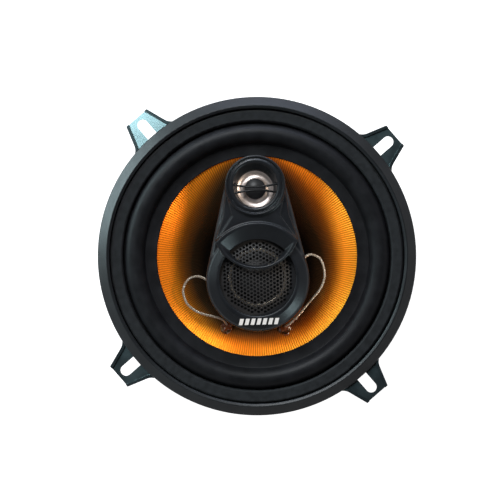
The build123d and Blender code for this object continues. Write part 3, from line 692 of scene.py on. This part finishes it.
def tube(line, radius, corners, base):
    """Points and faces of a capped tube whose first point has the index base."""
    across, over = frames_along(line)
    angles = [tau * c / corners for c in range(corners)]
    verts = []
    for middle, side, lift in zip(line, across, over):
        verts += [middle + radius * (cos(a) * side + sin(a) * lift) for a in angles]
    faces = [tuple(base + v for v in f) for f in lattice_faces(len(line), corners, False, True)]
    last = base + (len(line) - 1) * corners
    faces.append(tuple(base + c for c in range(corners))[::-1])
    faces.append(tuple(last + c for c in range(corners)))
    return verts, faces


def make_lead(node, material):
    """Three twisted strands along a CAD lead."""
    line, marks = lead_line(node)
    side, lift = frames_along(line)
    corners = 8
    verts, faces = [], []
    for k in range(3):
        turn = tau * marks / TWIST_PITCH + tau * k / 3
        wobble = 1 + 0.08 * np.sin(marks / (1.7 * MM) + 2 * k)
        reach = (BUNDLE_RADIUS - STRAND_RADIUS) * wobble
        strand = line + (np.cos(turn) * reach)[:, None] * side + (np.sin(turn) * reach)[:, None] * lift
        strand_verts, strand_faces = tube(strand, STRAND_RADIUS, corners, len(verts))
        verts += strand_verts
        faces += strand_faces
    obj = piece(node.replace("lead", "tinsel"), verts, faces, material, 60.0)
    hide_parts(node)
    bend_by(obj)
    return obj


def lump_points(middle, size, turn, rows, columns):
    """A lumpy ball stretched along its own axes and turned about Z."""
    spin = Matrix.Rotation(turn, 3, "Z")
    verts = []
    for i in range(rows + 1):
        down = pi * (i + 0.02) / (rows + 0.04)
        for j in range(columns):
            a = tau * j / columns
            unit = Vector((sin(down) * cos(a), sin(down) * sin(a), cos(down)))
            lumpy = 1 + 0.22 * noise.noise(unit * 1.9 + middle / (2 * MM))
            verts.append(middle + spin @ Vector([unit[k] * size[k] * lumpy for k in range(3)]))
    return verts


def blob(name, lumps, material):
    """Soft lumps run together: each is (centre, its three radii, turn about Z)."""
    rows, columns = 16, 24
    verts, faces = [], []
    for middle, size, turn in lumps:
        base = len(verts)
        verts += lump_points(middle, size, turn, rows, columns)
        faces += [tuple(base + v for v in f) for f in lattice_faces(rows + 1, columns, False, True)]
        faces.append(tuple(base + j for j in range(columns))[::-1])
        faces.append(tuple(base + rows * columns + j for j in range(columns)))
    obj = piece(name, verts, faces, material)
    applied(obj, "REMESH", mode="VOXEL", voxel_size=0.2 * MM)
    applied(obj, "SMOOTH", factor=0.6, iterations=5)
    obj.data.shade_smooth()
    return obj


def islands(node):
    """Centres of a CAD node's two separate bodies, left of the pod first."""
    co = points(node)
    sideways = co[:, 0] * POD_UP.y - co[:, 1] * POD_UP.x
    split = (sideways.min() + sideways.max()) / 2
    groups = [co[sideways < split], co[sideways >= split]]
    return [Vector((g.min(axis=0) + g.max(axis=0)) / 2) for g in groups]


def dab_lumps(front):
    """Lumps of adhesive over each eyelet, and a trail of them along the right-hand lead."""
    left, right = islands("lead_dabs")
    out_left, out_right = (Vector((p.x, p.y, 0)).normalized() for p in (left, right))
    turn_left, turn_right = (atan2(out.y, out.x) for out in (out_left, out_right))
    left += Vector((0, 0, -0.35 * MM))
    right += Vector((0, 0, -0.35 * MM))
    rise = Vector((0, 0, 0.45 * MM))
    lumps = [
        (left, (2.2, 2.6, 0.95), turn_left),
        (left - out_left * 1.9 * MM + rise * 0.2, (1.5, 1.9, 0.9), turn_left + 0.5),
        (left + out_left * 1.6 * MM + rise, (1.5, 2.0, 0.9), turn_left - 0.3),
        (right, (2.3, 2.7, 1.0), turn_right),
        (right + out_right * 1.9 * MM + rise, (1.4, 1.7, 0.9), turn_right + 0.6)]
    line = lead_line("front_lead_right")[0]
    trail = ((2.6, 1.5), (4.4, 1.2), (6.2, 1.5), (8.2, 1.2), (10.2, 1.4), (12.0, 0.8))
    for step, (reach, width) in enumerate(trail):
        spot = Vector(line[int(reach * MM / LEAD_STEP)])
        spot.z = front(spot.xy.length)
        lumps.append((spot, (width, width * 1.2, 0.75), 0.7 * step))
    return [(middle, [radius * MM for radius in size], turn) for middle, size, turn in lumps]


def make_dabs(material):
    """Brown adhesive run over each eyelet and kept on the cone's front."""
    front = cone_front()
    obj = blob("adhesive_dabs", dab_lumps(front), material)
    for vert in obj.data.vertices:
        vert.co.z = max(vert.co.z, front(vert.co.xy.length) - 0.2 * MM)
    return standing_for(obj, "lead_dabs", "cone")


# ---- pod -----------------------------------------------------------------------------------------
def make_cover(material):
    """The moulded cover: the CAD shape with its edges melted to small radii."""
    mesh = nodes["pod_cover"].data.copy()
    obj = bpy.data.objects.new("moulded_cover", mesh)
    bpy.context.scene.collection.objects.link(obj)
    applied(obj, "WELD", merge_threshold=0.002 * MM)
    applied(obj, "REMESH", mode="VOXEL", voxel_size=0.26 * MM)
    applied(obj, "SMOOTH", factor=0.5, iterations=11)
    obj.data.materials.clear()
    obj.data.materials.append(material)
    obj.data.shade_smooth()
    return standing_for(obj, "pod_cover", "frame")


GRILLE_PITCH = 1.53 * MM
GRILLE_HOLE = 1.12 * MM
GRILLE_SHEET = 0.45 * MM
GRILLE_DOME_R = 15.6 * MM


def punched_dome(height):
    """Points and faces of a dome of hexagonal cells. All but the outermost have a hole."""
    verts, faces, index = [], [], {}

    def vertex(x, y):
        key = (round(x / (0.001 * MM)), round(y / (0.001 * MM)))
        if key not in index:
            index[key] = len(verts)
            verts.append((MID.x + x, MID.y + y, height(x, y)))
        return index[key]

    def hexagon(middle, size):
        turns = [tau * k / 6 + POD_TURN for k in range(6)]
        return [vertex(middle.x + size * cos(a), middle.y + size * sin(a)) for a in turns]

    cell = GRILLE_PITCH / sqrt(3)
    hole = GRILLE_HOLE / sqrt(3)
    turn = Matrix.Rotation(POD_TURN, 2)
    reach = int(GRILLE_DOME_R / GRILLE_PITCH) + 2
    for i in range(-reach, reach + 1):
        for j in range(-reach, reach + 1):
            spot = turn @ Vector((1.5 * cell * i, GRILLE_PITCH * (j + (i % 2) / 2)))
            if spot.length > GRILLE_DOME_R + 0.5 * GRILLE_PITCH:
                continue
            outer = hexagon(spot, cell)
            if spot.length > GRILLE_DOME_R - 0.7 * GRILLE_PITCH:
                faces.append(tuple(outer))
                continue
            inner = hexagon(spot, hole)
            for k in range(6):
                m = (k + 1) % 6
                faces.append((outer[k], outer[m], inner[m], inner[k]))
    return verts, faces


def make_grille(material):
    """Domed steel mesh, and the flat rim that is clamped round it."""
    co = points("mid_grille")
    r = ring_distance(co, MID)
    rim = r.max()
    apex = co[:, 2].max()
    flange_top = co[r > rim - 1 * MM][:, 2].max()
    rise = apex - flange_top
    ball = (GRILLE_DOME_R**2 + rise**2) / (2 * rise)

    def height(x, y):
        return apex - ball + sqrt(max(ball**2 - x * x - y * y, 0.0))

    verts, faces = punched_dome(height)
    mesh_piece = piece("grille_mesh", verts, faces, material, 50.0)
    applied(mesh_piece, "SOLIDIFY", thickness=GRILLE_SHEET, offset=-1.0)
    mesh_piece.data.set_sharp_from_angle(angle=radians(50))
    flange_low = flange_top - 0.46 * MM
    ring_in = GRILLE_DOME_R - 0.3 * MM
    outline = [(rim, flange_low), (rim, flange_top), (ring_in, flange_top), (ring_in, flange_low)]
    rim_piece = turned("grille_rim", outline, material, 120, MID)
    return [standing_for(obj, "mid_grille", "frame") for obj in (mesh_piece, rim_piece)]


def make_channel(material, flange):
    """The bright concave ring round the tweeter's dome, with its dull flat edge."""
    inner, rim = radii("tweeter_surround", TWEETER)
    outer = radii("tweeter_frame", TWEETER)[0] + 0.45 * MM
    lo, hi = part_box("tweeter_surround")
    skin = 0.2 * MM
    depth = (hi.z - lo.z - skin) * 0.55
    share = np.linspace(0.0, 1.0, 33)
    r = inner + share * (outer - inner)
    dip = depth * 4 * share * (1 - share)
    under = [(a, hi.z - skin - b) for a, b in zip(r, dip)] + [(rim, hi.z - skin)]
    over = [(rim, hi.z)] + [(a, hi.z - b) for a, b in zip(r[::-1], dip[::-1])]
    obj = turned("bright_channel", under + over, material, 240, TWEETER)
    obj.data.materials.append(flange)
    for face in obj.data.polygons:
        face.material_index = 1 if (face.center.xy - TWEETER).length > outer else 0
    return standing_for(obj, "tweeter_surround", "frame")


def make_mark(material):
    """A generic printed mark on the ring: a row of slanted bars."""
    bars = 7
    width = 1.5 * MM
    height = 2.5 * MM
    slant = 0.7 * MM
    step = 2.35 * MM
    low_y = -MID.length - 18.75 * MM
    co = points("pod_cover")
    down_the_pod = (co[:, :2] - np.array(MID)) @ -np.array(POD_UP)
    ring_top = co[down_the_pod > 16.5 * MM][:, 2].max()
    to_pod = Matrix.Rotation(POD_TURN, 4, "Z")
    corners = ((-1, -1, 0), (1, -1, 0), (1, 1, 1), (-1, 1, 1))     # across, slant, up
    verts, faces = [], []
    for k in range(bars):
        x = (k - (bars - 1) / 2) * step
        base = len(verts)
        for z in (ring_top - 0.1 * MM, ring_top + 0.06 * MM):
            for across, lean, up in corners:
                spot = Vector((x + across * width / 2 + lean * slant / 2, low_y + up * height, z))
                verts.append(to_pod @ spot)
        faces += [(base + 3, base + 2, base + 1, base), (base + 4, base + 5, base + 6, base + 7)]
        faces += [(base + e, base + (e + 1) % 4, base + 4 + (e + 1) % 4, base + 4 + e) for e in range(4)]
    obj = piece("printed_mark", verts, faces, material)
    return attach(obj, "frame")


# ---- finishes of the CAD nodes -------------------------------------------------------------------
def dress(material, *names):
    """Gives CAD nodes a material."""
    for name in names:
        nodes[name].data.materials.clear()
        nodes[name].data.materials.append(material)


trim = moulded("trim_plastic", (0.0102, 0.0110, 0.0120), 0.38, 0.36, 0.22, 0.008)
pod_plastic = moulded("pod_plastic", (0.0105, 0.0108, 0.012), 0.3, 0.3)
grille_black = moulded("grille_black", (0.028, 0.028, 0.030), 0.45, 0.3, 0.3, 0.004)
cone_back = moulded("cone_back", (0.022, 0.021, 0.020), 0.45)
zinc = turned_metal("zinc_steel", (0.42, 0.42, 0.41), 0.34)
brass = plain_metal("brass", (0.78, 0.52, 0.22), 0.3)
bright = plain_metal("bright_ring", (0.9, 0.78, 0.62), 0.3)
chrome = plain_metal("chrome_film", (0.84, 0.73, 0.68), 0.36, 3.0, 0.0002)
foil = plain_metal("former_foil", (0.8, 0.8, 0.82), 0.22)
dome = gloss_film("dome_film", (0.040, 0.040, 0.042), 0.42)
sleeve = gloss_film("capacitor_sleeve", (0.02, 0.05, 0.16), 0.3)
tinsel_wire = tinsel()
surround_rubber = rubber()

dress(powder_coat(), "basket")
dress(trim, "trim_ring", "mid_frame", "tweeter_frame")
dress(pressed_card(), "gasket_ring")
dress(zinc, "top_plate", "pole_yoke", "plate_rivets", "pod_screw", "pod_nut", "mid_pot")
dress(zinc, "mid_pole_plate", "tweeter_pot", "tweeter_pole_plate", "cover_screws")
dress(zinc, "terminal_positive", "terminal_negative")
dress(ferrite(), "magnet", "mid_magnet")
dress(phenolic_board(), "terminal_board")
dress(brass, "board_rivets", "tab_rivets", "lead_eyelets")
dress(pod_plastic, "pod_base", "pod_post", "tweeter_guard")
dress(foil, "coil_former", "tweeter_magnet")
dress(copper_wire(), "voice_coil", "mid_coil", "tweeter_coil")
dress(sleeve, "crossover_capacitors")
dress(surround_rubber, "mid_surround")
dress(dome, "mid_dome", "tweeter_dome")
dress(bright, "mid_ring")

ribbed_cone = make_cone(cone_film(radii("cone")[0], radii("surround")[0]), cone_back)
roll_surround = make_surround(surround_rubber)
make_spider(spider_cloth())
inner_pieces = [make_lead(name, tinsel_wire) for name in ("front_lead_left", "front_lead_right")]
for name in ("rear_lead_positive", "rear_lead_negative"):
    make_lead(name, tinsel_wire)
inner_pieces.append(make_dabs(adhesive()))
cover = make_cover(pod_plastic)
inner_pieces += make_grille(grille_black)
inner_pieces += [make_channel(chrome, dome), make_mark(white_ink())]


# ---- floor, light and camera ---------------------------------------------------------------------
IMAGE_TURN = 1.6             # degrees that the pod leans in the picture
PICTURE_WIDTH = 205.0 * MM   # what the picture spans at the flange
CAMERA_DISTANCE = 650 * MM
AIM = (-2.86 * MM, 2.48 * MM)
FLOOR_REACH = 2.5            # metres

image_up = Matrix.Rotation(radians(-IMAGE_TURN), 2) @ POD_UP
image_right = Vector((image_up.y, -image_up.x))


def studio(right, up, front):
    """A point given by how far right, up and in front it is as the camera sees it."""
    flat = image_right * right + image_up * up
    return Vector((flat.x, flat.y, front))


def floor():
    """A pale glowing sheet under the magnet, which can't be seen from below."""
    low = cad_box[0].z
    look = Look("floor_paper", (0.86, 0.86, 0.87), 0.85)
    look.mottle(60 * MM, (0.99, 1.01), (0.82, 0.9))
    look.set("Emission Color", (1.0, 1.0, 1.0, 1.0))
    look.set("Emission Strength", 1.0)
    under = look.add("ShaderNodeNewGeometry").outputs["Backfacing"]
    clear = look.add("ShaderNodeBsdfTransparent").outputs[0]
    sheet = look.add("ShaderNodeMixShader")
    look.feed(sheet.inputs[0], under)
    look.feed(sheet.inputs[1], look.shader.outputs[0])
    look.feed(sheet.inputs[2], clear)
    look.feed(look.tree.nodes["Material Output"].inputs["Surface"], sheet.outputs[0])
    square = ((-1, -1), (1, -1), (1, 1), (-1, 1))
    corners = [(x * FLOOR_REACH, y * FLOOR_REACH, low) for x, y in square]
    piece("floor", corners, [(0, 1, 2, 3)], look.material)


def softbox(name, place, size, power, colour, only):
    """A soft light in front of the speaker, aimed at it, that lights only the given objects."""
    data = bpy.data.lights.new(name, "AREA")
    data.shape = "RECTANGLE"
    data.size, data.size_y = size
    data.energy = power
    data.color = colour
    obj = bpy.data.objects.new(name, data)
    obj.location = place
    obj.rotation_euler = (-place).to_track_quat("-Z", "Y").to_euler()
    bpy.context.scene.collection.objects.link(obj)
    lit = bpy.data.collections.new(f"lit_by_{name}")
    for receiver in only:
        lit.objects.link(receiver)
    obj.light_linking.receiver_collection = lit


def surroundings():
    """A studio bright low down and dark overhead, so black faces turned to the camera stay black."""
    world = bpy.data.worlds.new("studio")
    world.use_nodes = True
    tree = world.node_tree
    background = tree.nodes["Background"]
    place = tree.nodes.new("ShaderNodeTexCoord")
    split = tree.nodes.new("ShaderNodeSeparateXYZ")
    height = tree.nodes.new("ShaderNodeMapRange")
    tree.links.new(place.outputs["Generated"], split.inputs[0])
    tree.links.new(split.outputs["Z"], height.inputs["Value"])
    for name, number in (("From Min", 0.15), ("From Max", 0.8), ("To Min", 0.6), ("To Max", 0.05)):
        height.inputs[name].default_value = number
    tree.links.new(height.outputs[0], background.inputs["Strength"])
    background.inputs["Color"].default_value = (0.95, 0.97, 1.0, 1.0)
    bpy.context.scene.world = world


def light_cone():
    """Five lights round the cone. They make its sheen cool at the left and warm at the right."""
    small = (0.4, 0.4)
    cone = [ribbed_cone]
    softbox("over", studio(-0.2, 0.85, 0.95), small, 6, (0.64, 1.0, 0.9), cone)
    softbox("upper_left", studio(-0.8, 0.4, 1.0), small, 7, (0.80, 1.0, 0.9), cone)
    softbox("left", studio(-0.95, 0.0, 0.95), small, 6.5, (0.70, 1.0, 0.9), cone)
    softbox("right", studio(0.95, 0.12, 0.9), small, 15, (1.0, 0.66, 0.40), cone)
    softbox("under", studio(0.2, -0.85, 0.95), small, 0.8, (1.0, 0.5, 0.3), cone)


def light():
    """The key light, a wide window at the left, and lights for the parts that need their own."""
    teal, blue = (0.72, 0.95, 1.0), (0.68, 0.80, 1.0)
    window, window_size = studio(-1.1, 0.55, 0.5), (0.9, 0.35)
    rings = [nodes["trim_ring"], nodes["gasket_ring"]]
    others = [obj for obj in bpy.context.scene.objects if obj.type == "MESH" and obj != ribbed_cone]
    softbox("key", studio(-0.28, 0.78, 1.0), (0.5, 0.5), 10, (0.93, 0.97, 1.0), others)
    light_cone()
    softbox("warm", studio(0.95, -0.05, 0.9), (0.4, 0.5), 8, (1.0, 0.86, 0.70), inner_pieces)
    softbox("rim", window, window_size, 20, teal, rings)
    softbox("roll", window, window_size, 11, teal, [roll_surround])
    softbox("side", window, window_size, 6, teal, [cover])
    softbox("top", studio(0.1, 1.0, 0.45), (0.8, 0.15), 4, (0.68, 0.77, 1.0), [roll_surround, *rings])
    softbox("brow", studio(0.05, 0.8, 0.75), (0.7, 0.2), 5, blue, [cover])
    softbox("low", studio(0.72, -0.62, 0.72), (0.3, 0.3), 3.5, teal, [cover])
    softbox("strip", studio(-0.22, 0.25, 1.0), (0.2, 0.25), 15, (0.55, 0.92, 1.0), [nodes["basket"]])


def camera():
    """Looks straight down the speaker's axis, turned so that the pod leans as in the photograph."""
    data = bpy.data.cameras.new("camera")
    data.sensor_width = 36.0
    data.lens = data.sensor_width * CAMERA_DISTANCE / PICTURE_WIDTH
    obj = bpy.data.objects.new("camera", data)
    bpy.context.scene.collection.objects.link(obj)
    obj.location = studio(*AIM, CAMERA_DISTANCE)
    obj.rotation_euler = (0, 0, atan2(image_right.y, image_right.x))
    bpy.context.scene.camera = obj


surroundings()
floor()
light()
camera()
bpy.context.scene.view_settings.view_transform = "Standard"
